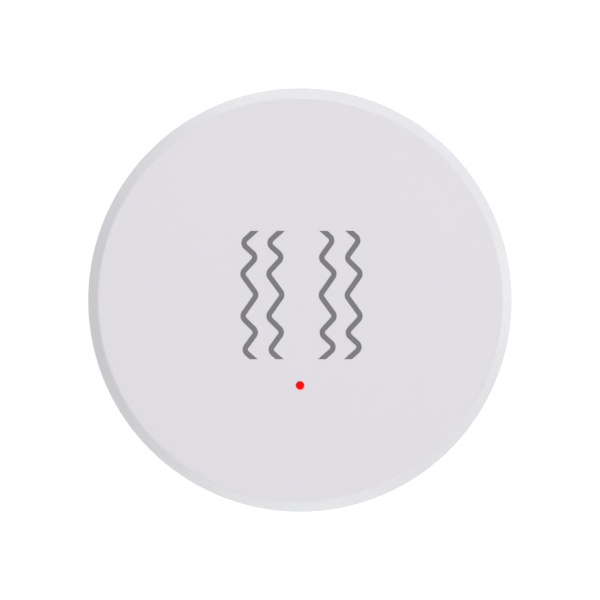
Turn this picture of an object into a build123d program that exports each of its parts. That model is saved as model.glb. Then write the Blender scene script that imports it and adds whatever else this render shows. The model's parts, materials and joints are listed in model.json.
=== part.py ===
from build123d import *
import math
import os

# Round stick-on vibration sensor: a bevelled puck with an indicator window in its face,
# a coin cell on the back of its board and a back cover that twists off.
# It lies on its tape ring. The face looks along +Z and the picture's top is towards +Y.

os.makedirs("parts", exist_ok=True)

# Coin cell
cell_radius = 12.25
cell_thickness = 5.0
can_edge = 0.4
crimp_drop = 0.3
crimp_reach = 1.05
cap_seat_depth = 0.8
gasket_lip = 0.3
cap_edge = 0.25
cell_end_gap = 0.4

# Battery tray, worked out from the cell and the switch beside it
pocket_gap = 0.3
pocket_wall = 1.2
pocket_foot_gap = 0.6
cell_stop_count = 4
first_stop_angle = 45.0
cell_stop_width = 3.0
cell_stop_overlap = 0.9
tray_floor = 1.2
tray_wall = 1.2
tray_side_gap = 0.3
tray_rib_thickness = 0.9
tray_rib_angles = (0.0, 60.0, 120.0, 240.0, 300.0)
finger_notch_width = 9.0
contact_slot_margin = 0.4

# Pairing switch and its key
switch_side = 4.5
switch_height = 1.2
switch_inner_gap = 0.7
switch_outer_gap = 0.25
switch_leg_width = 0.7
switch_leg_reach = 0.6
switch_leg_thickness = 0.2
plunger_radius = 1.1
plunger_gap = 0.12
plunger_reach = 0.55
plunger_seat = 0.4
button_travel = 0.3
key_radius = 1.9
key_gap = 0.2
key_flange_reach = 0.6
key_flange_thickness = 0.3
key_rest_gap = 0.05
key_proud = 0.2
key_edge = 0.2
key_collar_wall = 0.8
key_collar_height = 0.3

# Circuit board
board_thickness = 1.0
board_overhang = 0.4
contact_room = 0.7
board_hole_gap = 0.25

# Back cover, with its skirt, seal groove and bayonet lugs
plate_thickness = 2.0
flange_thickness = 1.4
flange_edge = 0.25
skirt_wall = 1.2
groove_lip = 0.3
seal_width = 1.5
seal_height = 1.5
seal_lip_depth = 0.3
seal_fit = 0.05
turning_gap = 0.25
lug_count = 3
first_lug_angle = 90.0
lug_angle = 16.0
lug_thickness = 1.0
lug_gap = 0.15
lug_ramp_length = 1.4
lug_ramp_height = 0.35
cover_rib_count = 12
cover_rib_thickness = 0.9
cover_rib_clearance = 0.8
keeper_count = 3
keeper_inner_radius = 6.5
keeper_length = 3.0
keeper_width = 1.2
keeper_gap = 0.1
coin_radius = 11.5
coin_slot_width = 2.0
coin_slot_depth = 1.1
coin_slot_edge = 0.15

# Bayonet ledges inside the front cover
ledge_thickness = 0.9
ledge_seal_gap = 0.4
ledge_margin_angle = 2.0
entry_gap_angle = 2.0
stop_angle = 3.0
stop_gap_angle = 0.3
detent_radius = 0.4
detent_height = 0.11

# Front cover
side_wall = 1.8
front_wall = 1.6
side_draft_angle = 0.5
bevel_width = 1.2
bevel_height = 1.2
bevel_blend = 0.4
rim_edge = 0.3
mouth_lead = 0.25
boss_radius = 1.9
web_thickness = 0.9
rest_count = 3
first_rest_angle = 90.0
rest_overlap = 0.8
pin_radius = 0.7
pin_gap = 0.1
pin_angles = (0.0, 210.0)

# Screws that hold the tray and the board to the front cover
screw_count = 3
first_screw_angle = 30.0
screw_radius = 0.8
screw_hole_gap = 0.06
screw_grip = 2.0
screw_tip_gap = 0.4
head_radius = 1.5
head_height = 0.8
cross_width = 0.4
cross_length = 1.7
cross_depth = 0.4

# Indicator window, light pipe and light baffle
window_offset = 10.0
window_radius = 0.5
window_gap = 0.02
collar_radius = 1.4
collar_height = 0.9
stem_radius = 0.9
pipe_air_gap = 0.3
led_length = 1.6
led_width = 0.8
led_height = 0.7
led_base_height = 0.3
led_lens_inset = 0.15
baffle_gap = 0.4
baffle_wall = 0.8

# Radio module
radio_width = 12.0
radio_board_thickness = 0.8
radio_pad_count = 8
radio_pad_radius = 0.4
radio_pad_sides = 8
radio_pad_pitch = 1.3
radio_place_share = (0.0, 0.42)
shield_length = 11.5
shield_width = 10.2
shield_height = 1.5
shield_wall = 0.2
shield_round = 0.5
shield_edge = 0.15
shield_edge_gap = 0.5
shield_air_gap = 0.6
antenna_length = 7.0
antenna_width = 2.0
antenna_height = 1.0
antenna_end_width = 0.6
antenna_end_rise = 0.05
antenna_edge_gap = 0.8
antenna_clear_gap = 2.2

# Chips on the board, with their places as shares of the board's radius
crystal_length = 3.2
crystal_width = 2.5
crystal_height = 0.8
crystal_round = 0.5
crystal_base_height = 0.3
crystal_lid_inset = 0.2
crystal_place_share = (0.48, 0.2)
accelerometer_side = 3.0
accelerometer_height = 1.0
accelerometer_dot_radius = 0.25
accelerometer_dot_depth = 0.1
accelerometer_edge = 0.12
accelerometer_place_share = (0.0, -0.17)
regulator_length = 2.9
regulator_width = 1.3
regulator_height = 1.1
regulator_edge = 0.15
regulator_leg_width = 0.4
regulator_leg_reach = 0.6
regulator_leg_thickness = 0.15
regulator_leg_pitch = 0.95
regulator_place_share = (-0.5, 0.18)
bulk_length = 3.5
bulk_width = 2.8
bulk_height = 1.9
bulk_edge = 0.3
bulk_tab_width = 2.2
bulk_tab_reach = 0.15
bulk_tab_height = 0.9
bulk_place_share = (-0.48, -0.12)
chip_length = 1.6
chip_width = 0.8
chip_height = 0.8
chip_end_length = 0.35
chip_body_inset = 0.06
chip_pitch_x = 2.4
chip_pitch_y = 1.8
chip_columns = 3
chip_rows = 2
capacitor_place_share = (0.46, -0.2)
resistor_height = 0.5
resistor_place_share = (-0.44, -0.42)

# Battery contacts
contact_thickness = 0.25
contact_width = 4.5
contact_foot = 3.0
contact_stand_off = 0.6
contact_touch_gap = 0.02
contact_bend = 0.45
contact_touch_share = 0.48
contact_tip_share = 0.24
contact_flare = 0.7
leaf_thickness = 0.2
leaf_width = 3.0
leaf_foot = 5.0
leaf_arm = 3.4
leaf_tip = 1.3
leaf_tip_rise = 0.2
leaf_bend = 1.0

# Tape ring on the back
tape_thickness = 1.0
tape_recess = 0.4
tape_inner_radius = 11.0
tape_margin = 3.45
tape_side_gap = 0.15

cut_overrun = 1.0
fuse_overlap = 0.3
cell_snug_gap = 0.01

# Radii, outwards from the cell
pocket_radius = cell_radius + pocket_gap
pocket_outer_radius = pocket_radius + pocket_wall
button_offset = pocket_outer_radius + switch_inner_gap + switch_side / 2
tray_inner_radius = pocket_outer_radius + switch_inner_gap + switch_side + switch_outer_gap
tray_radius = tray_inner_radius + tray_wall
board_radius = tray_radius + board_overhang
skirt_inner_radius = tray_radius + tray_side_gap
skirt_radius = skirt_inner_radius + skirt_wall
groove_radius = skirt_radius - groove_lip
mouth_radius = groove_radius + seal_fit + seal_width + seal_fit
housing_radius = mouth_radius + side_wall
ledge_radius = skirt_radius + turning_gap
lug_radius = mouth_radius - turning_gap
flange_radius = mouth_radius - turning_gap
screw_circle = tray_radius - boss_radius
tape_outer_radius = flange_radius - tape_margin
island_radius = tape_inner_radius - tape_side_gap

# Levels, upwards from the surface that the tape sticks to
back_level = tape_thickness - tape_recess
plate_level = back_level + plate_thickness
cell_level = plate_level + cell_end_gap
cell_top_level = cell_level + cell_thickness
crimp_level = cell_top_level - crimp_drop
board_level = cell_top_level + contact_room
board_top_level = board_level + board_thickness
ceiling_level = board_top_level + radio_board_thickness + shield_height + shield_air_gap
face_level = ceiling_level + front_wall
switch_level = board_level - switch_height
plunger_level = switch_level - plunger_reach
key_flange_level = plunger_level - key_flange_thickness
tray_floor_top_level = key_flange_level - key_rest_gap
tray_floor_level = tray_floor_top_level - tray_floor
pocket_mouth_level = plate_level + pocket_foot_gap
head_level = tray_floor_level - head_height
screw_tip_level = board_top_level + screw_grip
groove_low_level = back_level + flange_thickness
groove_top_level = groove_low_level + seal_fit + seal_height + seal_fit
ledge_level = groove_top_level + ledge_seal_gap
ledge_top_level = ledge_level + ledge_thickness
lug_level = ledge_top_level + lug_gap
skirt_top_level = lug_level + lug_thickness
seal_level = (groove_low_level + groove_top_level) / 2
collar_top_level = ceiling_level + collar_height
led_top_level = board_top_level + led_height

# The cover opens by turning clockwise as seen from the face, so its lugs go to smaller angles.
twist_angle = lug_angle + ledge_margin_angle + entry_gap_angle
print("across", round(2 * housing_radius, 3), "high", round(face_level, 3), "twist", twist_angle)


def ring_sector(inner_radius, outer_radius, start_angle, arc_angle):
    """A piece of a flat ring between two angles."""
    with BuildSketch() as sector:
        with BuildLine():
            outer = CenterArc((0, 0), outer_radius, start_angle, arc_angle)
            inner = CenterArc((0, 0), inner_radius, start_angle, arc_angle)
            Line(outer @ 0, inner @ 0)
            Line(outer @ 1, inner @ 1)
        make_face()
    return sector.sketch


def radial_planes(radius, count, start_angle):
    """Upright planes round the axis, each facing outwards, with their X along the turn."""
    planes = []
    for index in range(count):
        angle = math.radians(start_angle + index * 360 / count)
        outwards = Vector(math.cos(angle), math.sin(angle), 0)
        along = Vector(-math.sin(angle), math.cos(angle), 0)
        planes.append(Plane(origin=outwards * radius, x_dir=along, z_dir=outwards))
    return planes


def on_board(place_share):
    """A place on the board, from its shares of the board's radius."""
    return (place_share[0] * board_radius, place_share[1] * board_radius)


def corner_at(section, place):
    """The corner of an outline that is nearest to a place."""
    return section.vertices().sort_by_distance(place)[0]


def save(piece, label):
    """Names a finished piece and writes it."""
    piece.part.label = label
    export_step(piece.part, "parts/" + label + ".step")


# Front cover: the bevelled shell, and what is moulded on its inside
side_height = face_level - bevel_height - back_level
bevel_foot_radius = housing_radius - side_height * math.tan(math.radians(side_draft_angle))
bevel_foot = (bevel_foot_radius, face_level - bevel_height)
face_corner = (bevel_foot_radius - bevel_width, face_level)
web_length = mouth_radius - screw_circle + fuse_overlap
rest_length = mouth_radius - board_radius + rest_overlap + fuse_overlap
ledge_start = -lug_angle / 2 - ledge_margin_angle
ledge_angle = lug_angle + ledge_margin_angle + stop_gap_angle + stop_angle
stop_start = lug_angle / 2 + stop_gap_angle
entry_stop_start = -lug_angle / 2 - twist_angle - stop_gap_angle - stop_angle

with BuildPart() as front_cover:
    with BuildSketch(Plane.XZ) as cover_section:
        with BuildLine():
            Polyline(
                (0, ceiling_level),
                (mouth_radius, ceiling_level),
                (mouth_radius, back_level),
                (housing_radius, back_level),
                bevel_foot,
                face_corner,
                (0, face_level),
                close=True,
            )
        make_face()
        fillet(corner_at(cover_section, face_corner), bevel_blend)
        chamfer(corner_at(cover_section, (housing_radius, back_level)), rim_edge)
        chamfer(corner_at(cover_section, (mouth_radius, back_level)), mouth_lead)
    revolve(axis=Axis.Z)

    # Screw bosses, each with a web out to the side wall
    with BuildSketch(Plane.XY.offset(board_top_level)):
        with PolarLocations(screw_circle, screw_count, start_angle=first_screw_angle):
            Circle(boss_radius)
            Rectangle(web_length, web_thickness, align=(Align.MIN, Align.CENTER))
    extrude(amount=ceiling_level - board_top_level + fuse_overlap)
    with BuildSketch(Plane.XY.offset(board_top_level)):
        with PolarLocations(screw_circle, screw_count, start_angle=first_screw_angle):
            Circle(screw_radius + screw_hole_gap)
    extrude(amount=screw_grip + screw_tip_gap, mode=Mode.SUBTRACT)

    # Rests that the board's edge lies against, opposite the bosses
    with BuildSketch(Plane.XY.offset(board_top_level)):
        with PolarLocations(board_radius - rest_overlap, rest_count, start_angle=first_rest_angle):
            Rectangle(rest_length, web_thickness, align=(Align.MIN, Align.CENTER))
    extrude(amount=ceiling_level - board_top_level + fuse_overlap)

    # Pins that turn the board the right way round
    with BuildSketch(Plane.XY.offset(board_level)):
        for pin_angle in pin_angles:
            with PolarLocations(screw_circle, 1, start_angle=pin_angle):
                Circle(pin_radius)
    extrude(amount=ceiling_level - board_level + fuse_overlap)

    # Bayonet ledges, with a stop at each end of the lugs' way
    with BuildSketch(Plane.XY.offset(ledge_level)):
        with PolarLocations(0, lug_count, start_angle=first_lug_angle):
            add(ring_sector(ledge_radius, mouth_radius + fuse_overlap, ledge_start, ledge_angle))
    extrude(amount=ledge_thickness)
    with BuildSketch(Plane.XY.offset(ledge_level)):
        with PolarLocations(0, lug_count, start_angle=first_lug_angle):
            add(ring_sector(ledge_radius, mouth_radius + fuse_overlap, stop_start, stop_angle))
            add(ring_sector(ledge_radius, mouth_radius + fuse_overlap, entry_stop_start, stop_angle))
    extrude(amount=skirt_top_level - ledge_level)

    # A low bump on each ledge, just behind the lug when the cover is shut
    detent_start = first_lug_angle - lug_angle / 2 - ledge_margin_angle / 2
    detent_axis_level = ledge_top_level + detent_height - detent_radius
    with PolarLocations(0, lug_count, start_angle=detent_start):
        with Locations(Location((ledge_radius, 0, detent_axis_level), (0, 90, 0))):
            Cylinder(
                detent_radius,
                mouth_radius - ledge_radius + fuse_overlap,
                align=(Align.CENTER, Align.CENTER, Align.MIN),
            )

    # Seat of the light pipe, and the window through the face
    with BuildSketch(Plane.XY.offset(ceiling_level)):
        with Locations((0, -window_offset)):
            Circle(collar_radius + window_gap)
    extrude(amount=collar_height, mode=Mode.SUBTRACT)
    with BuildSketch(Plane.XY.offset(ceiling_level)):
        with Locations((0, -window_offset)):
            Circle(window_radius + window_gap)
    extrude(amount=front_wall + cut_overrun, mode=Mode.SUBTRACT)
save(front_cover, "front_cover")

# Light pipe: a stem over the lamp, a collar in the cover and a tip that ends flush in the face
pipe_foot_level = led_top_level + pipe_air_gap
with BuildPart() as light_pipe:
    with BuildSketch(Plane.XY.offset(pipe_foot_level)):
        with Locations((0, -window_offset)):
            Circle(stem_radius)
    extrude(amount=ceiling_level - pipe_foot_level)
    with BuildSketch(Plane.XY.offset(ceiling_level)):
        with Locations((0, -window_offset)):
            Circle(collar_radius)
    extrude(amount=collar_height)
    with BuildSketch(Plane.XY.offset(collar_top_level)):
        with Locations((0, -window_offset)):
            Circle(window_radius)
    extrude(amount=face_level - collar_top_level)
save(light_pipe, "light_pipe")

# Light baffle: a soft tube round the lamp, from the board to the cover
baffle_radius = led_length / 2 + baffle_gap
with BuildPart() as light_baffle:
    with BuildSketch(Plane.XY.offset(board_top_level)):
        with Locations((0, -window_offset)):
            Circle(baffle_radius + baffle_wall)
            Circle(baffle_radius, mode=Mode.SUBTRACT)
    extrude(amount=ceiling_level - board_top_level)
save(light_baffle, "light_baffle")

# Indicator lamp: a chip with a raised lens
with BuildPart() as led_chip:
    with BuildSketch(Plane.XY.offset(board_top_level)):
        with Locations((0, -window_offset)):
            Rectangle(led_length, led_width)
    extrude(amount=led_base_height)
    with BuildSketch(Plane.XY.offset(board_top_level + led_base_height)):
        with Locations((0, -window_offset)):
            Rectangle(led_length - 2 * led_lens_inset, led_width)
    extrude(amount=led_height - led_base_height)
save(led_chip, "led_chip")

# Circuit board, with holes for the screws and the locating pins
with BuildPart() as circuit_board:
    with BuildSketch(Plane.XY.offset(board_level)):
        Circle(board_radius)
        with PolarLocations(screw_circle, screw_count, start_angle=first_screw_angle):
            Circle(screw_radius + board_hole_gap, mode=Mode.SUBTRACT)
        for pin_angle in pin_angles:
            with PolarLocations(screw_circle, 1, start_angle=pin_angle):
                Circle(pin_radius + pin_gap, mode=Mode.SUBTRACT)
    extrude(amount=board_thickness)
save(circuit_board, "circuit_board")

# Radio module: a small board with half-round pads down both long sides
radio_place = on_board(radio_place_share)
antenna_strip = antenna_clear_gap + antenna_width + antenna_edge_gap
radio_length = shield_edge_gap + shield_length + antenna_strip
radio_top_level = board_top_level + radio_board_thickness
pad_row = radio_place[1] - radio_length / 2 + shield_edge_gap + shield_length / 2
with BuildPart() as radio_board:
    with BuildSketch(Plane.XY.offset(board_top_level)):
        with Locations(radio_place):
            Rectangle(radio_width, radio_length)
        with Locations((radio_place[0], pad_row)):
            with GridLocations(radio_width, radio_pad_pitch, 2, radio_pad_count):
                RegularPolygon(radio_pad_radius, radio_pad_sides, mode=Mode.SUBTRACT)
    extrude(amount=radio_board_thickness)
save(radio_board, "radio_board")

# Radio shield: a pressed can, open towards the module
with BuildPart() as radio_shield:
    with BuildSketch(Plane.XY.offset(radio_top_level)):
        with Locations((radio_place[0], pad_row)):
            RectangleRounded(shield_width, shield_length, shield_round)
    extrude(amount=shield_height)
    chamfer(radio_shield.edges().group_by(Axis.Z)[-1], shield_edge)
    with BuildSketch(Plane.XY.offset(radio_top_level)):
        with Locations((radio_place[0], pad_row)):
            Rectangle(shield_width - 2 * shield_wall, shield_length - 2 * shield_wall)
    extrude(amount=shield_height - shield_wall, mode=Mode.SUBTRACT)
save(radio_shield, "radio_shield")

# Chip antenna, across the module's free end, with a metal cap at each end
antenna_row = radio_place[1] + radio_length / 2 - antenna_edge_gap - antenna_width / 2
with BuildPart() as chip_antenna:
    with BuildSketch(Plane.XY.offset(radio_top_level)):
        with Locations((radio_place[0], antenna_row)):
            Rectangle(antenna_length, antenna_width)
    extrude(amount=antenna_height - antenna_end_rise)
    with BuildSketch(Plane.XY.offset(radio_top_level)):
        with Locations((radio_place[0], antenna_row)):
            with GridLocations(antenna_length - antenna_end_width, antenna_width, 2, 1):
                Rectangle(antenna_end_width, antenna_width)
    extrude(amount=antenna_height)
save(chip_antenna, "chip_antenna")

# Crystal: a metal lid on a ceramic base
crystal_place = on_board(crystal_place_share)
with BuildPart() as crystal:
    with BuildSketch(Plane.XY.offset(board_top_level)):
        with Locations(crystal_place):
            Rectangle(crystal_length, crystal_width)
    extrude(amount=crystal_base_height)
    with BuildSketch(Plane.XY.offset(board_top_level + crystal_base_height)):
        with Locations(crystal_place):
            RectangleRounded(
                crystal_length - 2 * crystal_lid_inset,
                crystal_width - 2 * crystal_lid_inset,
                crystal_round,
            )
    extrude(amount=crystal_height - crystal_base_height)
save(crystal, "crystal")

# Accelerometer, the chip that feels the vibration, with its corner dot
accelerometer_place = on_board(accelerometer_place_share)
dot_shift = accelerometer_side / 2 - 3 * accelerometer_dot_radius
dot_place = (accelerometer_place[0] - dot_shift, accelerometer_place[1] + dot_shift)
with BuildPart() as accelerometer:
    with BuildSketch(Plane.XY.offset(board_top_level)):
        with Locations(accelerometer_place):
            Rectangle(accelerometer_side, accelerometer_side)
    extrude(amount=accelerometer_height)
    chamfer(accelerometer.edges().group_by(Axis.Z)[-1], accelerometer_edge)
    with BuildSketch(Plane.XY.offset(board_top_level + accelerometer_height)):
        with Locations(dot_place):
            Circle(accelerometer_dot_radius)
    extrude(amount=-accelerometer_dot_depth, mode=Mode.SUBTRACT)
save(accelerometer, "accelerometer")

# Voltage regulator: a moulded body with two legs on one side and one on the other
regulator_place = on_board(regulator_place_share)
leg_length = regulator_width / 2 + regulator_leg_reach
with BuildPart() as voltage_regulator:
    with BuildSketch(Plane.XY.offset(board_top_level)):
        with Locations(regulator_place):
            Rectangle(regulator_length, regulator_width)
    extrude(amount=regulator_height)
    chamfer(voltage_regulator.edges().group_by(Axis.Z)[-1], regulator_edge)
    with BuildSketch(Plane.XY.offset(board_top_level)):
        with Locations(regulator_place):
            with Locations((-regulator_leg_pitch, 0), (regulator_leg_pitch, 0)):
                Rectangle(regulator_leg_width, leg_length, align=(Align.CENTER, Align.MAX))
            Rectangle(regulator_leg_width, leg_length, align=(Align.CENTER, Align.MIN))
    extrude(amount=regulator_leg_thickness)
save(voltage_regulator, "voltage_regulator")

# Bulk capacitor: a moulded block with a metal tab folded up each end
bulk_place = on_board(bulk_place_share)
with BuildPart() as bulk_capacitor:
    with BuildSketch(Plane.XY.offset(board_top_level)):
        with Locations(bulk_place):
            Rectangle(bulk_length, bulk_width)
    extrude(amount=bulk_height)
    chamfer(bulk_capacitor.edges().group_by(Axis.Z)[-1], bulk_edge)
    with BuildSketch(Plane.XY.offset(board_top_level)):
        with Locations(bulk_place):
            Rectangle(bulk_length + 2 * bulk_tab_reach, bulk_tab_width)
    extrude(amount=bulk_tab_height)
save(bulk_capacitor, "bulk_capacitor")


def chip_field(place_share, height):
    """A small field of chips, each with raised metal ends."""
    place = on_board(place_share)
    with BuildPart() as chips:
        with BuildSketch(Plane.XY.offset(board_top_level)):
            with Locations(place):
                with GridLocations(chip_pitch_x, chip_pitch_y, chip_columns, chip_rows):
                    Rectangle(chip_length, chip_width - 2 * chip_body_inset)
        extrude(amount=height - chip_body_inset)
        with BuildSketch(Plane.XY.offset(board_top_level)):
            with Locations(place):
                with GridLocations(chip_pitch_x, chip_pitch_y, chip_columns, chip_rows):
                    with GridLocations(chip_length - chip_end_length, chip_width, 2, 1):
                        Rectangle(chip_end_length, chip_width)
        extrude(amount=height)
    return chips


# Capacitors and resistors
capacitors = chip_field(capacitor_place_share, chip_height)
save(capacitors, "capacitors")
resistors = chip_field(resistor_place_share, resistor_height)
save(resistors, "resistors")

# Switch body under the board, with the well that its plunger slides in
well_top_level = switch_level + plunger_seat + 2 * plunger_gap + button_travel
with BuildPart() as switch_base:
    with BuildSketch(Plane.XY.offset(switch_level)):
        with Locations((0, button_offset)):
            Rectangle(switch_side, switch_side)
    extrude(amount=switch_height)
    with BuildSketch(Plane.XY.offset(board_level)):
        with Locations((0, button_offset)):
            with GridLocations(switch_side, switch_side - 2 * switch_leg_width, 2, 2):
                Rectangle(2 * switch_leg_reach, switch_leg_width)
    extrude(amount=-switch_leg_thickness)
    with BuildSketch(Plane.XY.offset(switch_level)):
        with Locations((0, button_offset)):
            Circle(plunger_radius + plunger_gap)
    extrude(amount=well_top_level - switch_level, mode=Mode.SUBTRACT)
save(switch_base, "switch_base")

# Switch plunger
with BuildPart() as switch_plunger:
    with BuildSketch(Plane.XY.offset(plunger_level)):
        with Locations((0, button_offset)):
            Circle(plunger_radius)
    extrude(amount=switch_level + plunger_seat - plunger_level)
save(switch_plunger, "switch_plunger")

# Pairing key: a stem through the tray's floor, kept in by the flange behind it
key_level = tray_floor_level - key_collar_height - key_proud
with BuildPart() as pairing_button:
    with BuildSketch(Plane.XY.offset(key_level)):
        with Locations((0, button_offset)):
            Circle(key_radius)
    extrude(amount=key_flange_level - key_level)
    chamfer(pairing_button.edges().group_by(Axis.Z)[0], key_edge)
    with BuildSketch(Plane.XY.offset(key_flange_level)):
        with Locations((0, button_offset)):
            Circle(key_radius + key_flange_reach)
    extrude(amount=key_flange_thickness)
save(pairing_button, "pairing_button")

# Positive contact: a strip from the board down a slot in the tray, sprung against the can
contact_foot_level = board_level - contact_thickness / 2
contact_turn = pocket_outer_radius + contact_stand_off
contact_touch = cell_radius + contact_touch_gap + contact_thickness / 2
with BuildPart() as positive_contact:
    with BuildSketch(Plane.XZ):
        with BuildLine():
            FilletPolyline(
                (-contact_turn - contact_foot, contact_foot_level),
                (-contact_turn, contact_foot_level),
                (-contact_touch, cell_level + contact_touch_share * cell_thickness),
                (-contact_touch - contact_flare, cell_level + contact_tip_share * cell_thickness),
                radius=contact_bend,
            )
        trace(line_width=contact_thickness)
    extrude(amount=contact_width / 2, both=True)
save(positive_contact, "positive_contact")

# Negative contact: a leaf under the board that presses on the middle of the cap
leaf_foot_level = board_level - leaf_thickness / 2
leaf_touch_level = cell_top_level + contact_touch_gap + leaf_thickness / 2
with BuildPart() as negative_contact:
    with BuildSketch(Plane.XZ):
        with BuildLine():
            FilletPolyline(
                (-leaf_foot, leaf_foot_level),
                (0, leaf_foot_level),
                (leaf_arm, leaf_touch_level),
                (leaf_arm + leaf_tip, leaf_touch_level + leaf_tip_rise),
                radius=leaf_bend,
            )
        trace(line_width=leaf_thickness)
    extrude(amount=leaf_width / 2, both=True)
save(negative_contact, "negative_contact")

# Cell can, the positive side, solid with what it holds: its rim ends round the gasket
crimp_radius = cell_radius - crimp_reach
cap_seat_level = crimp_level - cap_seat_depth
with BuildPart() as battery_can:
    with BuildSketch(Plane.XZ) as can_section:
        with BuildLine():
            Polyline(
                (0, cell_level),
                (cell_radius, cell_level),
                (cell_radius, crimp_level),
                (crimp_radius, crimp_level),
                (crimp_radius, cap_seat_level),
                (0, cap_seat_level),
                close=True,
            )
        make_face()
        chamfer(corner_at(can_section, (cell_radius, cell_level)), can_edge)
    revolve(axis=Axis.Z)
save(battery_can, "battery_can")

# Cell gasket, between the can and the cap
cap_radius = crimp_radius - gasket_lip
cap_foot_level = cap_seat_level + cell_snug_gap
with BuildPart() as battery_gasket:
    with BuildSketch(Plane.XY.offset(cap_foot_level)):
        Circle(crimp_radius - cell_snug_gap)
        Circle(cap_radius + cell_snug_gap, mode=Mode.SUBTRACT)
    extrude(amount=crimp_level - cap_foot_level)
save(battery_gasket, "battery_gasket")

# Cell cap, the negative side
with BuildPart() as battery_cap:
    with BuildSketch(Plane.XY.offset(cap_foot_level)):
        Circle(cap_radius)
    extrude(amount=cell_top_level - cap_foot_level)
    chamfer(battery_cap.edges().group_by(Axis.Z)[-1], cap_edge)
save(battery_cap, "battery_cap")

# Battery tray: a walled dish against the board, with the cell's pocket in its middle
stop_inner_radius = cell_radius - cell_stop_overlap
slot_width = contact_width + 2 * contact_slot_margin
slot_outer = contact_turn + contact_thickness + contact_slot_margin
with BuildPart() as battery_tray:
    with BuildSketch(Plane.XZ):
        with Locations((pocket_radius, tray_floor_level)):
            Rectangle(tray_radius - pocket_radius, tray_floor, align=Align.MIN)
        with Locations((tray_inner_radius, tray_floor_level)):
            Rectangle(tray_wall, board_level - tray_floor_level, align=Align.MIN)
        with Locations((pocket_radius, pocket_mouth_level)):
            Rectangle(pocket_wall, board_level - pocket_mouth_level, align=Align.MIN)
    revolve(axis=Axis.Z)

    # Stops at the pocket's top, which the rim of the cell rests against
    with BuildSketch(Plane.XY.offset(crimp_level)):
        with PolarLocations(stop_inner_radius, cell_stop_count, start_angle=first_stop_angle):
            Rectangle(
                pocket_radius - stop_inner_radius + fuse_overlap,
                cell_stop_width,
                align=(Align.MIN, Align.CENTER),
            )
    extrude(amount=board_level - crimp_level)

    # Ribs between the pocket and the outer wall, clear of the switch and the contact
    with BuildSketch(Plane.XY.offset(tray_floor_level)):
        for rib_angle in tray_rib_angles:
            with PolarLocations(pocket_outer_radius - fuse_overlap, 1, start_angle=rib_angle):
                Rectangle(
                    tray_inner_radius - pocket_outer_radius + 2 * fuse_overlap,
                    tray_rib_thickness,
                    align=(Align.MIN, Align.CENTER),
                )
    extrude(amount=board_level - tray_floor_level)

    # Columns that the screws pass through
    with BuildSketch(Plane.XY.offset(tray_floor_level)):
        with PolarLocations(screw_circle, screw_count, start_angle=first_screw_angle):
            Circle(boss_radius)
    extrude(amount=board_level - tray_floor_level)
    with BuildSketch(Plane.XY.offset(tray_floor_level)):
        with PolarLocations(screw_circle, screw_count, start_angle=first_screw_angle):
            Circle(screw_radius + board_hole_gap)
    extrude(amount=board_level - tray_floor_level, mode=Mode.SUBTRACT)

    # Hole and collar for the pairing key
    with BuildSketch(Plane.XY.offset(tray_floor_level - key_collar_height)):
        with Locations((0, button_offset)):
            Circle(key_radius + key_gap + key_collar_wall)
    extrude(amount=key_collar_height)
    with BuildSketch(Plane.XY.offset(tray_floor_level - key_collar_height)):
        with Locations((0, button_offset)):
            Circle(key_radius + key_gap)
    extrude(amount=key_collar_height + tray_floor, mode=Mode.SUBTRACT)

    # Slot for the positive contact, and a notch to lift the cell out by
    with BuildSketch(Plane.XY.offset(pocket_mouth_level)):
        with Locations((-slot_outer, 0)):
            Rectangle(slot_outer - cell_radius, slot_width, align=(Align.MIN, Align.CENTER))
    extrude(amount=board_level - pocket_mouth_level, mode=Mode.SUBTRACT)
    with BuildSketch(Plane.XY.offset(pocket_mouth_level)):
        with Locations((cell_radius, 0)):
            Rectangle(
                pocket_outer_radius - cell_radius + cut_overrun,
                finger_notch_width,
                align=(Align.MIN, Align.CENTER),
            )
    extrude(amount=tray_floor_level - pocket_mouth_level, mode=Mode.SUBTRACT)
save(battery_tray, "battery_tray")

# Tray screws: pan heads against the tray's floor, with their tips in the cover's bosses
with BuildPart() as tray_screws:
    with BuildSketch(Plane.XY.offset(head_level)):
        with PolarLocations(screw_circle, screw_count, start_angle=first_screw_angle):
            Circle(head_radius)
    extrude(amount=head_height)
    with BuildSketch(Plane.XY.offset(tray_floor_level)):
        with PolarLocations(screw_circle, screw_count, start_angle=first_screw_angle):
            Circle(screw_radius)
    extrude(amount=screw_tip_level - tray_floor_level)
    with BuildSketch(Plane.XY.offset(head_level)):
        with PolarLocations(screw_circle, screw_count, start_angle=first_screw_angle):
            Rectangle(cross_length, cross_width)
            Rectangle(cross_width, cross_length)
    extrude(amount=cross_depth, mode=Mode.SUBTRACT)
save(tray_screws, "tray_screws")

# Seal ring in the back cover's groove, with a lip towards the front cover
seal_inner_radius = groove_radius + seal_fit
seal_outer_radius = seal_inner_radius + seal_width
seal_low_level = groove_low_level + seal_fit
seal_top_level = seal_low_level + seal_height
with BuildPart() as seal_ring:
    with BuildSketch(Plane.XZ):
        with BuildLine():
            Polyline(
                (seal_inner_radius, seal_low_level),
                (seal_outer_radius - seal_lip_depth, seal_low_level),
                (seal_outer_radius, seal_level),
                (seal_outer_radius - seal_lip_depth, seal_top_level),
                (seal_inner_radius, seal_top_level),
                close=True,
            )
        make_face()
    revolve(axis=Axis.Z)
save(seal_ring, "seal_ring")

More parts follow.
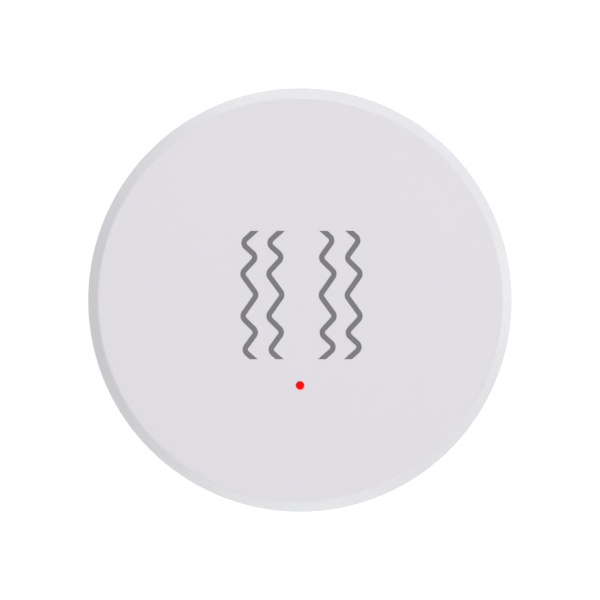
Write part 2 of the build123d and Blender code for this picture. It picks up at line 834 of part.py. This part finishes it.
# Back cover: plate, tape pocket, seal groove and skirt in one turned outline
rib_start = pocket_outer_radius + tray_side_gap
rib_height = head_level - cover_rib_clearance - plate_level
rib_length = skirt_inner_radius - rib_start + fuse_overlap
coin_centre_level = back_level + coin_slot_depth - coin_radius
with BuildPart() as back_cover:
    with BuildSketch(Plane.XZ) as back_section:
        with BuildLine():
            Polyline(
                (0, back_level),
                (island_radius, back_level),
                (island_radius, back_level + tape_recess),
                (tape_outer_radius + tape_side_gap, back_level + tape_recess),
                (tape_outer_radius + tape_side_gap, back_level),
                (flange_radius, back_level),
                (flange_radius, groove_low_level),
                (groove_radius, groove_low_level),
                (groove_radius, groove_top_level),
                (skirt_radius, groove_top_level),
                (skirt_radius, skirt_top_level),
                (skirt_inner_radius, skirt_top_level),
                (skirt_inner_radius, plate_level),
                (0, plate_level),
                close=True,
            )
        make_face()
        chamfer(corner_at(back_section, (flange_radius, back_level)), flange_edge)
    revolve(axis=Axis.Z)

    # Bayonet lugs
    with BuildSketch(Plane.XY.offset(lug_level)):
        with PolarLocations(0, lug_count, start_angle=first_lug_angle):
            add(ring_sector(skirt_radius - fuse_overlap, lug_radius, -lug_angle / 2, lug_angle))
    extrude(amount=lug_thickness)

    # A ramp under each lug's leading end, which climbs onto the ledge as the cover shuts
    lug_half_length = skirt_radius * math.sin(math.radians(lug_angle / 2))
    ramp_start = lug_half_length - lug_ramp_length
    ramp_end = lug_half_length + lug_ramp_length
    ramp_rise = 2 * lug_ramp_height
    with BuildSketch(*radial_planes(skirt_radius, lug_count, first_lug_angle)):
        with BuildLine():
            Polyline(
                (ramp_start, lug_level),
                (ramp_end, lug_level),
                (ramp_end, lug_level + ramp_rise),
                close=True,
            )
        make_face()
    extrude(amount=lug_radius - skirt_radius + cut_overrun, mode=Mode.SUBTRACT)

    # Ribs across the plate, and the pads that keep the cell in
    with BuildSketch(Plane.XY.offset(plate_level - fuse_overlap)):
        with PolarLocations(rib_start, cover_rib_count):
            Rectangle(rib_length, cover_rib_thickness, align=(Align.MIN, Align.CENTER))
    extrude(amount=rib_height + fuse_overlap)
    with BuildSketch(Plane.XY.offset(plate_level - fuse_overlap)):
        with PolarLocations(keeper_inner_radius, keeper_count):
            Rectangle(keeper_length, keeper_width, align=(Align.MIN, Align.CENTER))
    extrude(amount=cell_end_gap - keeper_gap + fuse_overlap)

    # Coin slot with a round bottom, to open the cover by
    with BuildSketch(Plane.XZ):
        with Locations((0, coin_centre_level)):
            Circle(coin_radius)
    extrude(amount=coin_slot_width / 2, both=True, mode=Mode.SUBTRACT)
    slot_edges = back_cover.edges().filter_by(GeomType.LINE).filter_by(Axis.X)
    chamfer(slot_edges.group_by(Axis.Z)[0], coin_slot_edge)
save(back_cover, "back_cover")

# Tape ring: the foam tape that sticks the sensor down
with BuildPart() as tape_ring:
    with BuildSketch(Plane.XY):
        Circle(tape_outer_radius)
        Circle(tape_inner_radius, mode=Mode.SUBTRACT)
    extrude(amount=tape_thickness)
save(tape_ring, "tape_ring")
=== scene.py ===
import bpy
import bmesh
import json
import math
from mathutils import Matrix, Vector


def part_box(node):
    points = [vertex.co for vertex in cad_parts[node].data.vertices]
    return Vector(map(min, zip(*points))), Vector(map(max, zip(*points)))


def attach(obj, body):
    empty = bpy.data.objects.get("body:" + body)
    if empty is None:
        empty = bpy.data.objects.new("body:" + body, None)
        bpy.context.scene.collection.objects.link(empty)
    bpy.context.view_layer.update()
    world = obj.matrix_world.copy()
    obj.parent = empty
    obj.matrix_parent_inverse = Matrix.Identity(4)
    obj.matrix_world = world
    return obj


# Round stick-on vibration sensor, seen from straight above its face.
# Lengths are in metres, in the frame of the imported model; mm makes them easy to read.

mm = 0.001
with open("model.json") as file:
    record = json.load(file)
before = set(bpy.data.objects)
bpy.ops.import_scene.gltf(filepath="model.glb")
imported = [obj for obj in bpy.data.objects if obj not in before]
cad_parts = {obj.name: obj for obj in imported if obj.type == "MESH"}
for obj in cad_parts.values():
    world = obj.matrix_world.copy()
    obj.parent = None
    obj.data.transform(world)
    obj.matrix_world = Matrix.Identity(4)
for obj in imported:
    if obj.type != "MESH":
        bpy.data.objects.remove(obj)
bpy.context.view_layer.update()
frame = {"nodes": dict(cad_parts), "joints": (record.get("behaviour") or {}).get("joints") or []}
nodes = frame["nodes"]
print("frame loaded:", len(nodes), "nodes")


def linkObject(name, data):
    thing = bpy.data.objects.new(name, data)
    bpy.context.scene.collection.objects.link(thing)
    return thing


def colour(red, green, blue):
    return (red, green, blue, 1.0)


def grey(level):
    return colour(level, level, level)


# Materials

noiseSpan = (0.35, 0.65)  # where most of a noise texture's values lie


def newMaterial(name, finish):
    # finish: roughness, gloss and so on, straight onto the shader's own sockets
    material = bpy.data.materials.new(name)
    material.use_nodes = True
    shader = material.node_tree.nodes["Principled BSDF"]
    for socket, value in finish.items():
        shader.inputs[socket].default_value = value
    return material, material.node_tree, shader


def addNode(tree, kind, settings=None, inputs=None):
    node = tree.nodes.new(kind)
    for key, value in (settings or {}).items():
        setattr(node, key, value)
    for key, value in (inputs or {}).items():
        node.inputs[key].default_value = value
    return node


def place(tree):
    # object coordinates, so that a pattern keeps to the piece when it moves
    return addNode(tree, "ShaderNodeTexCoord").outputs["Object"]


def noise(tree, where, scale, detail, fineness=0.5):
    texture = addNode(tree, "ShaderNodeTexNoise", inputs={
        "Scale": scale, "Detail": detail, "Roughness": fineness})
    tree.links.new(where, texture.inputs["Vector"])
    return texture.outputs["Fac"]


def ramp(tree, source, low, high, span=noiseSpan):
    mapped = addNode(tree, "ShaderNodeMapRange", inputs={
        "From Min": span[0], "From Max": span[1], "To Min": low, "To Max": high})
    tree.links.new(source, mapped.inputs["Value"])
    return mapped.outputs["Result"]


def tint(tree, source, first, second):
    # a colour mix: input 0 is its factor, and inputs 6 and 7 and output 2 are the ones for colours
    mixed = addNode(tree, "ShaderNodeMix", {"data_type": "RGBA"}, {6: first, 7: second})
    tree.links.new(source, mixed.inputs[0])
    return mixed.outputs[2]


def bump(tree, source, strength, distance):
    node = addNode(tree, "ShaderNodeBump", inputs={"Strength": strength, "Distance": distance})
    tree.links.new(source, node.inputs["Height"])
    return node.outputs["Normal"]


def moulded(name, look):
    # plastic, rubber, ceramic or ink: fine grain, and faint mottling of colour and gloss
    material, tree, shader = newMaterial(name, {
        "Specular IOR Level": look["gloss"], "Roughness": look["rough"]})
    cloud = ramp(tree, noise(tree, place(tree), look["cloudScale"], look["cloudDetail"]), 0.0, 1.0)
    darker = colour(*[value * (1 - look["mottle"]) for value in look["colour"][:3]])
    grain = noise(tree, place(tree), look["grainScale"], look["grainDetail"], look["grainFineness"])
    spread = ramp(tree, grain, look["rough"] - look["smoother"], look["rough"] + look["rougher"])
    relief = bump(tree, grain, look["grain"], look["grainDepth"])
    tree.links.new(tint(tree, cloud, look["colour"], darker), shader.inputs["Base Color"])
    tree.links.new(spread, shader.inputs["Roughness"])
    tree.links.new(relief, shader.inputs["Normal"])
    return material


housingLook = {
    "colour": colour(0.745, 0.730, 0.768), "rough": 0.42, "gloss": 0.5,
    "smoother": 0.04, "rougher": 0.06,  # how far the roughness goes down and up with the grain
    "mottle": 0.006, "cloudScale": 60.0, "cloudDetail": 2.0,
    "grain": 0.25, "grainScale": 3200.0, "grainDetail": 4.0, "grainFineness": 0.6, "grainDepth": 0.01 * mm,
}
backLook = dict(housingLook, rough=0.55, gloss=0.35, grain=0.5, grainScale=2400.0)
trayLook = dict(
    housingLook, colour=colour(0.76, 0.76, 0.77), rough=0.5, gloss=0.4, mottle=0.02, cloudScale=90.0,
    grain=0.4, grainScale=2600.0, grainDepth=0.012 * mm)
keyLook = dict(trayLook, colour=colour(0.42, 0.43, 0.46), rough=0.42)
baffleLook = dict(trayLook, colour=colour(0.02, 0.02, 0.022), rough=0.85, gloss=0.2, mottle=0.1)
sealLook = dict(trayLook, colour=colour(0.12, 0.12, 0.125), rough=0.62, gloss=0.3, mottle=0.06)
gasketLook = dict(trayLook, colour=colour(0.08, 0.08, 0.085), rough=0.6, mottle=0.06)
chipLook = dict(trayLook, colour=colour(0.018, 0.018, 0.02), rough=0.55, mottle=0.1, grainScale=4200.0)
ceramicLook = dict(trayLook, colour=colour(0.62, 0.55, 0.42), rough=0.5, mottle=0.05)
inkLook = dict(
    housingLook, colour=colour(0.203, 0.199, 0.216), rough=0.55, gloss=0.2, mottle=0.02, cloudScale=300.0,
    grain=0.15, grainScale=4000.0, grainDepth=0.004 * mm)


def metal(name, look):
    # a rolled or plated metal: fine drawn lines along X and a slight variation of gloss
    material, tree, shader = newMaterial(name, {
        "Base Color": look["colour"], "Metallic": 1.0, "Roughness": look["rough"]})
    stretched = addNode(tree, "ShaderNodeMapping", inputs={"Scale": look["stretch"]})
    tree.links.new(place(tree), stretched.inputs["Vector"])
    lines = noise(tree, stretched.outputs["Vector"], look["lineScale"], look["lineDetail"])
    spread = ramp(tree, lines, look["rough"] - look["smoother"], look["rough"] + look["rougher"])
    tree.links.new(spread, shader.inputs["Roughness"])
    tree.links.new(bump(tree, lines, look["relief"], look["depth"]), shader.inputs["Normal"])
    return material


cellLook = {
    "colour": colour(0.72, 0.72, 0.70), "rough": 0.28, "smoother": 0.06, "rougher": 0.1,
    "lineScale": 900.0, "lineDetail": 5.0, "stretch": (0.15, 1.0, 1.0),
    "relief": 0.2, "depth": 0.006 * mm,
}
shieldLook = dict(cellLook, colour=colour(0.66, 0.67, 0.68), rough=0.36)
contactLook = dict(cellLook, colour=colour(0.80, 0.74, 0.60), rough=0.25)
screwLook = dict(
    cellLook, colour=colour(0.50, 0.50, 0.52), rough=0.3, lineScale=2500.0, stretch=(1.0, 1.0, 1.0))

boardLook = {
    "mask": colour(0.010, 0.115, 0.045), "track": colour(0.016, 0.165, 0.065), "rough": 0.32, "gloss": 0.5,
    # the width of a track and the size of a field between tracks are in units of 1 / scale metres
    "scale": 1500.0, "trackWidth": 0.08, "fieldLength": 2.6, "fieldWidth": 0.8,
    "relief": 0.5, "depth": 0.03 * mm,
}


def circuitBoard(name, look):
    # solder mask with the slightly paler, raised tracks that show through it
    material, tree, shader = newMaterial(name, {
        "Roughness": look["rough"], "Specular IOR Level": look["gloss"]})
    fields = addNode(tree, "ShaderNodeTexBrick", inputs={
        "Scale": look["scale"], "Mortar Size": look["trackWidth"],
        "Brick Width": look["fieldLength"], "Row Height": look["fieldWidth"]})
    tracks = fields.outputs["Fac"]
    tree.links.new(place(tree), fields.inputs["Vector"])
    tree.links.new(tint(tree, tracks, look["mask"], look["track"]), shader.inputs["Base Color"])
    tree.links.new(bump(tree, tracks, look["relief"], look["depth"]), shader.inputs["Normal"])
    return material


tapeLook = {
    "foam": colour(0.84, 0.83, 0.845), "pore": colour(0.62, 0.61, 0.63), "rough": 0.8, "gloss": 0.25,
    "poreScale": 2600.0, "relief": 0.5, "depth": 0.06 * mm,
    "poreEdge": (0.05, 0.35),  # from a pore's middle outwards, where its colour gives way to the foam's
}


def foamTape(name, look):
    # closed-cell foam: small pores, lighter between them
    material, tree, shader = newMaterial(name, {
        "Roughness": look["rough"], "Specular IOR Level": look["gloss"]})
    pores = addNode(tree, "ShaderNodeTexVoronoi", inputs={"Scale": look["poreScale"], "Randomness": 1.0})
    distance = pores.outputs["Distance"]
    inside = ramp(tree, distance, 1.0, 0.0, look["poreEdge"])
    tree.links.new(place(tree), pores.inputs["Vector"])
    tree.links.new(tint(tree, inside, look["foam"], look["pore"]), shader.inputs["Base Color"])
    tree.links.new(bump(tree, distance, look["relief"], look["depth"]), shader.inputs["Normal"])
    return material


windowLook = {
    "glow": colour(0.965, 0.001, 0.002), "glowLevel": 0.98,
    "resin": colour(0.05, 0.0012, 0.0012), "cloud": colour(0.06, 0.002, 0.002),
    "cloudScale": 1800.0, "cloudDetail": 2.0, "rough": 0.55, "gloss": 0.03,
}


def litWindow(name, look):
    # clear red resin lit from behind: it glows evenly, and its own deep red hardly shows
    material, tree, shader = newMaterial(name, {
        "Roughness": look["rough"], "Specular IOR Level": look["gloss"],
        "Emission Color": look["glow"], "Emission Strength": look["glowLevel"]})
    cloud = ramp(tree, noise(tree, place(tree), look["cloudScale"], look["cloudDetail"]), 0.0, 1.0)
    tree.links.new(tint(tree, cloud, look["resin"], look["cloud"]), shader.inputs["Base Color"])
    return material


signInk = moulded("signInk", inkLook)
nodeFinishes = [
    (moulded("housingPlastic", housingLook), ["front_cover"]),
    (moulded("backPlastic", backLook), ["back_cover"]),
    (litWindow("windowResin", windowLook), ["light_pipe"]),
    (moulded("baffleFoam", baffleLook), ["light_baffle"]),
    (moulded("chipResin", chipLook),
     ["accelerometer", "voltage_regulator", "resistors", "switch_base", "bulk_capacitor"]),
    (moulded("chipCeramic", ceramicLook), ["capacitors", "led_chip", "chip_antenna"]),
    (circuitBoard("boardMask", boardLook), ["circuit_board", "radio_board"]),
    (metal("shieldSteel", shieldLook), ["radio_shield", "crystal"]),
    (moulded("keyPlastic", keyLook), ["pairing_button", "switch_plunger"]),
    (metal("contactBronze", contactLook), ["positive_contact", "negative_contact"]),
    (metal("cellSteel", cellLook), ["battery_can", "battery_cap"]),
    (moulded("gasketNylon", gasketLook), ["battery_gasket"]),
    (moulded("trayPlastic", trayLook), ["battery_tray"]),
    (metal("screwSteel", screwLook), ["tray_screws"]),
    (moulded("sealRubber", sealLook), ["seal_ring"]),
    (foamTape("tapeFoam", tapeLook), ["tape_ring"]),
]
for finish, names in nodeFinishes:
    for name in names:
        nodes[name].data.materials.clear()
        nodes[name].data.materials.append(finish)
print("finishes given to", sum(len(names) for finish, names in nodeFinishes), "nodes")

# Levels read from the frame

coverLow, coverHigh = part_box("front_cover")
faceLevel = coverHigh.z
rimLevel = coverLow.z

# Printed sign: four wavy strokes of grey ink on the face, in two pairs.
# The second pair is the first one turned half round.

signShape = {
    "strokeWidth": 0.625 * mm, "inkHeight": 0.02 * mm, "cornerRadius": 0.61 * mm, "cornerSteps": 10,
    "leftSide": -6.852 * mm, "rightSide": -5.052 * mm, "lastLeftSide": -6.622 * mm,
    "turnHeights": [height * mm for height in (6.69, 5.03, 3.10, 0.62, -1.95, -3.73, -5.89)],
    "topEnd": (-5.272 * mm, 8.10 * mm), "bottomEnd": (-5.432 * mm, -6.93 * mm),
    "overrun": 1.25 * mm,  # how far a stroke is drawn past its ends, which are then cut off level
    "nextStroke": 3.045 * mm, "middle": (-1.346 * mm, 0.586 * mm),
}


def strokeLine(shape):
    # the first stroke's centre line, its turns alternately on the left and on the right
    line = [Vector(shape["topEnd"])]
    for index, height in enumerate(shape["turnHeights"]):
        line.append(Vector((shape["rightSide"] if index % 2 else shape["leftSide"], height)))
    line[-1].x = shape["lastLeftSide"]
    line.append(Vector(shape["bottomEnd"]))
    return line


def roundedLine(points, radius, steps):
    # the corners of an open line turned into arcs
    line = [points[0]]
    for before, corner, after in zip(points, points[1:], points[2:]):
        inward = (before - corner).normalized()
        outward = (after - corner).normalized()
        halfAngle = inward.angle(outward) / 2
        reach = radius / math.tan(halfAngle)
        centre = corner + (inward + outward).normalized() * radius / math.sin(halfAngle)
        start = corner + inward * reach - centre
        end = corner + outward * reach - centre
        sweep = math.atan2(start.x * end.y - start.y * end.x, start.dot(end))
        for step in range(steps + 1):
            angle = sweep * step / steps
            line.append(centre + Vector((start.x * math.cos(angle) - start.y * math.sin(angle),
                                         start.x * math.sin(angle) + start.y * math.cos(angle))))
    line.append(points[-1])
    return line


def extendedLine(line, reach):
    # both ends pushed out, so that they can be cut off level
    first = line[0] + (line[0] - line[1]).normalized() * reach
    last = line[-1] + (line[-1] - line[-2]).normalized() * reach
    return [first] + line[1:-1] + [last]


def inkLayer(name, shapeMesh, height):
    # flat faces given the thickness of the ink, upwards or with a negative height downwards
    raised = bmesh.ops.extrude_face_region(shapeMesh, geom=shapeMesh.faces[:])
    for vertex in raised["geom"]:
        if isinstance(vertex, bmesh.types.BMVert):
            vertex.co.z += height
    bmesh.ops.recalc_face_normals(shapeMesh, faces=shapeMesh.faces[:])
    mesh = bpy.data.meshes.new(name)
    shapeMesh.to_mesh(mesh)
    shapeMesh.free()
    mesh.materials.append(signInk)
    return linkObject(name, mesh)


def strokeRibbon(name, line, shape, level):
    # a band of even width along the line, cut off level at the top and bottom ends
    half = shape["strokeWidth"] / 2
    shapeMesh = bmesh.new()
    pairs = []
    for index, point in enumerate(line):
        before = line[max(index - 1, 0)]
        after = line[min(index + 1, len(line) - 1)]
        along = (after - before).normalized()
        aside = Vector((-along.y, along.x)) * half
        pairs.append([shapeMesh.verts.new((point.x + aside.x * side, point.y + aside.y * side, level))
                      for side in (1, -1)])
    for (left, right), (nextLeft, nextRight) in zip(pairs, pairs[1:]):
        shapeMesh.faces.new((left, right, nextRight, nextLeft))
    for height, direction in ((shape["topEnd"][1], 1), (shape["bottomEnd"][1], -1)):
        bmesh.ops.bisect_plane(
            shapeMesh, geom=shapeMesh.verts[:] + shapeMesh.edges[:] + shapeMesh.faces[:],
            plane_co=(0, height, level), plane_no=(0, direction, 0), clear_outer=True)
    return inkLayer(name, shapeMesh, shape["inkHeight"])


def printSign():
    rounded = roundedLine(strokeLine(signShape), signShape["cornerRadius"], signShape["cornerSteps"])
    firstLine = extendedLine(rounded, signShape["overrun"])
    turnedLine = [Vector(signShape["middle"]) * 2 - point for point in firstLine]
    shift = Vector((signShape["nextStroke"], 0))
    lines = []
    for line in (firstLine, turnedLine):
        lines += [line, [point + shift for point in line]]
    for index, line in enumerate(lines):
        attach(strokeRibbon("signStroke" + str(index + 1), line, signShape, faceLevel), "sensor")


printSign()
print("sign printed")

# Lock marks on the back: a pointer on the back cover turns from the full dot (shut) to the ring (open)

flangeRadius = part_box("back_cover")[1].x
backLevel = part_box("back_cover")[0].z
openTurn = next(joint["range_deg"][1] for joint in frame["joints"] if joint["name"] == "cover_twist")
lockShape = {
    "shutAngle": 100.0, "rimRadius": 24.08 * mm, "dotRadius": 0.42 * mm, "ringWidth": 0.16 * mm,
    "pointerHeight": 1.3 * mm, "pointerWidth": 1.3 * mm, "pointerGap": 0.5 * mm,
    "inkHeight": 0.02 * mm, "steps": 32,
}


def onTurn(angle, radius):
    turn = math.radians(angle)
    return Vector((math.cos(turn), math.sin(turn))) * radius


def circleVerts(shapeMesh, centre, radius, steps, level):
    points = [centre + onTurn(360 * step / steps, radius) for step in range(steps)]
    return [shapeMesh.verts.new((point.x, point.y, level)) for point in points]


def dotFaces(centre, outerRadius, innerRadius, steps, level):
    # a full dot, or a ring where it has an inner radius
    shapeMesh = bmesh.new()
    outer = circleVerts(shapeMesh, centre, outerRadius, steps, level)
    if innerRadius == 0:
        shapeMesh.faces.new(outer)
        return shapeMesh
    inner = circleVerts(shapeMesh, centre, innerRadius, steps, level)
    for index in range(steps):
        following = (index + 1) % steps
        shapeMesh.faces.new((outer[index], outer[following], inner[following], inner[index]))
    return shapeMesh


def pointerFaces(angle, shape, level):
    # a triangle that points outwards, just inside the back cover's edge
    outwards = onTurn(angle, 1.0)
    aside = Vector((-outwards.y, outwards.x))
    tip = outwards * (flangeRadius - shape["pointerGap"])
    foot = tip - outwards * shape["pointerHeight"]
    half = aside * shape["pointerWidth"] / 2
    shapeMesh = bmesh.new()
    corners = (tip, foot + half, foot - half)
    shapeMesh.faces.new([shapeMesh.verts.new((corner.x, corner.y, level)) for corner in corners])
    return shapeMesh


def printLockMarks(shape):
    shutPlace = onTurn(shape["shutAngle"], shape["rimRadius"])
    openPlace = onTurn(shape["shutAngle"] - openTurn, shape["rimRadius"])
    full, thin = shape["dotRadius"], shape["dotRadius"] - shape["ringWidth"]
    marks = {
        "shutMark": (dotFaces(shutPlace, full, 0, shape["steps"], rimLevel), "sensor"),
        "openMark": (dotFaces(openPlace, full, thin, shape["steps"], rimLevel), "sensor"),
        "turnPointer": (pointerFaces(shape["shutAngle"], shape, backLevel), "cover"),
    }
    for name, (faces, body) in marks.items():
        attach(inkLayer(name, faces, -shape["inkHeight"]), body)


printLockMarks(lockShape)
print("lock marks printed, open at", openTurn, "degrees")

# Floor: white and one-sided. From below it is clear, and it lets the lamps' light through.

floorLook = {
    "size": 1.6,
    "drop": 0.03 * mm,  # how far it lies below the tape, so that the two never share a plane
    "bounce": 0.8,  # how white it is for the light that it sends back onto the sensor
    "shade": 0.36,  # how much of the lamps' light the camera sees on it, with the sensor's shadow
    # its own glow, weaker near the sensor and full where the lamps hardly reach
    "nearGlow": 0.77, "farGlow": 1.0, "near": 0.05, "far": 0.3,
}


def seenRays(tree, path):
    # 1 for what the camera sees, directly or through a reflection or glass
    first = addNode(tree, "ShaderNodeMath", {"operation": "MAXIMUM"})
    second = addNode(tree, "ShaderNodeMath", {"operation": "MAXIMUM"})
    tree.links.new(path.outputs["Is Camera Ray"], first.inputs[0])
    tree.links.new(path.outputs["Is Glossy Ray"], first.inputs[1])
    tree.links.new(first.outputs[0], second.inputs[0])
    tree.links.new(path.outputs["Is Transmission Ray"], second.inputs[1])
    return second.outputs[0]


def floorMaterial(name, look):
    material = bpy.data.materials.new(name)
    material.use_nodes = True
    tree = material.node_tree
    tree.nodes.clear()
    link = tree.links.new
    path = addNode(tree, "ShaderNodeLightPath")
    side = addNode(tree, "ShaderNodeNewGeometry")
    distance = addNode(tree, "ShaderNodeVectorMath", {"operation": "LENGTH"})
    level = addNode(tree, "ShaderNodeMapRange", inputs={
        "From Min": look["near"], "From Max": look["far"],
        "To Min": look["nearGlow"], "To Max": look["farGlow"]})
    glow = addNode(tree, "ShaderNodeEmission")
    shade = addNode(tree, "ShaderNodeBsdfDiffuse", inputs={"Color": grey(look["shade"])})
    bounce = addNode(tree, "ShaderNodeBsdfDiffuse", inputs={"Color": grey(look["bounce"])})
    clear = addNode(tree, "ShaderNodeBsdfTransparent")
    seenFloor = addNode(tree, "ShaderNodeAddShader")
    litOrSeen = addNode(tree, "ShaderNodeMixShader")
    clearRays = addNode(tree, "ShaderNodeMath", {"operation": "MAXIMUM"})
    oneSided = addNode(tree, "ShaderNodeMixShader")
    output = addNode(tree, "ShaderNodeOutputMaterial")
    link(place(tree), distance.inputs[0])
    link(distance.outputs["Value"], level.inputs["Value"])
    link(level.outputs["Result"], glow.inputs["Strength"])
    link(glow.outputs[0], seenFloor.inputs[0])
    link(shade.outputs[0], seenFloor.inputs[1])
    link(seenRays(tree, path), litOrSeen.inputs[0])
    link(bounce.outputs[0], litOrSeen.inputs[1])
    link(seenFloor.outputs[0], litOrSeen.inputs[2])
    link(side.outputs["Backfacing"], clearRays.inputs[0])
    link(path.outputs["Is Shadow Ray"], clearRays.inputs[1])
    link(clearRays.outputs[0], oneSided.inputs[0])
    link(litOrSeen.outputs[0], oneSided.inputs[1])
    link(clear.outputs[0], oneSided.inputs[2])
    link(oneSided.outputs[0], output.inputs["Surface"])
    return material


def layFloor(look):
    half, low = look["size"] / 2, -look["drop"]
    corners = [(-half, -half, low), (half, -half, low), (half, half, low), (-half, half, low)]
    mesh = bpy.data.meshes.new("floor")
    mesh.from_pydata(corners, [], [(0, 1, 2, 3)])
    mesh.materials.append(floorMaterial("floorWhite", look))
    floor = linkObject("floor", mesh)


layFloor(floorLook)
print("floor laid")

# World and lamps: low lamps all round give the bevel its brighter and darker sides, strong on the right
# and below and weak on the left. High lamps light the face, and one lamp lights the back.

worldLook = {"ambient": 0.3, "seen": 1.0}
lampLook = {
    "reach": 0.6, "size": 0.3,  # how far each lamp stands from the sensor, and how wide it is
    # the low lamps are a little green and the one overhead a little violet,
    # so that the bevel looks whiter than the face
    "tints": {"green": (0.90, 1.0, 0.88), "violet": (0.985, 0.945, 1.0), "plain": (1.0, 1.0, 1.0)},
    # azimuth (0 towards +X, 90 towards +Y), elevation (below 0 it shines through the floor),
    # share of full light on a surface that faces the lamp, and tint
    "lamps": {
        "rightLamp": (2.0, -9.0, 0.258, "green"),
        "upperLeftLamp": (104.0, -9.0, 0.172, "green"),
        "leftLamp": (179.0, -8.0, 0.044, "green"),
        "lowerLeftLamp": (249.0, 0.0, 0.107, "green"),
        "lowerLamp": (277.0, -9.0, 0.208, "green"),
        "upperFill": (82.0, 41.0, 0.44, "plain"),
        "lowerFill": (276.0, 39.0, 0.295, "plain"),
        "rightFill": (11.0, 45.0, 0.085, "plain"),
        "overhead": (0.0, 90.0, 0.14, "violet"),
        "underLamp": (0.0, -90.0, 0.35, "plain"),
    },
}


def lightWorld(look):
    # white where the camera sees it, and a weaker even light on the sensor
    world = bpy.data.worlds.new("studio")
    bpy.context.scene.world = world
    world.use_nodes = True
    tree = world.node_tree
    tree.nodes.clear()
    seen = seenRays(tree, addNode(tree, "ShaderNodeLightPath"))
    level = addNode(tree, "ShaderNodeMapRange", inputs={"To Min": look["ambient"], "To Max": look["seen"]})
    background = addNode(tree, "ShaderNodeBackground", inputs={"Color": grey(1.0)})
    output = addNode(tree, "ShaderNodeOutputWorld")
    tree.links.new(seen, level.inputs["Value"])
    tree.links.new(level.outputs["Result"], background.inputs["Strength"])
    tree.links.new(background.outputs[0], output.inputs["Surface"])


def hangLamps(look):
    for name, (azimuth, elevation, share, tintName) in look["lamps"].items():
        turn, rise = math.radians(azimuth), math.radians(elevation)
        towards = Vector((math.cos(turn) * math.cos(rise), math.sin(turn) * math.cos(rise), math.sin(rise)))
        data = bpy.data.lights.new(name, "AREA")
        data.shape = "DISK"
        data.size = look["size"]
        data.color = look["tints"][tintName]
        # at this energy a white surface that faces the lamp renders at the lamp's share of white
        data.energy = share * math.pi ** 2 * look["reach"] ** 2
        lamp = linkObject(name, data)
        lamp.location = towards * look["reach"]
        lamp.rotation_mode = "QUATERNION"
        lamp.rotation_quaternion = towards.to_track_quat("Z", "Y")


lightWorld(worldLook)
hangLamps(lampLook)
print("lamps hung:", len(lampLook["lamps"]))

# Camera: straight above the face, the picture's top towards +Y

cameraLook = {"lens": 200.0, "height": 0.4046, "nearest": 0.01}  # the lens in millimetres
cameraData = bpy.data.cameras.new("camera")
cameraData.lens = cameraLook["lens"]
cameraData.clip_start = cameraLook["nearest"]
camera = linkObject("camera", cameraData)
camera.location = (0, 0, cameraLook["height"])
bpy.context.scene.camera = camera
bpy.context.scene.view_settings.view_transform = "Standard"
print("camera set")
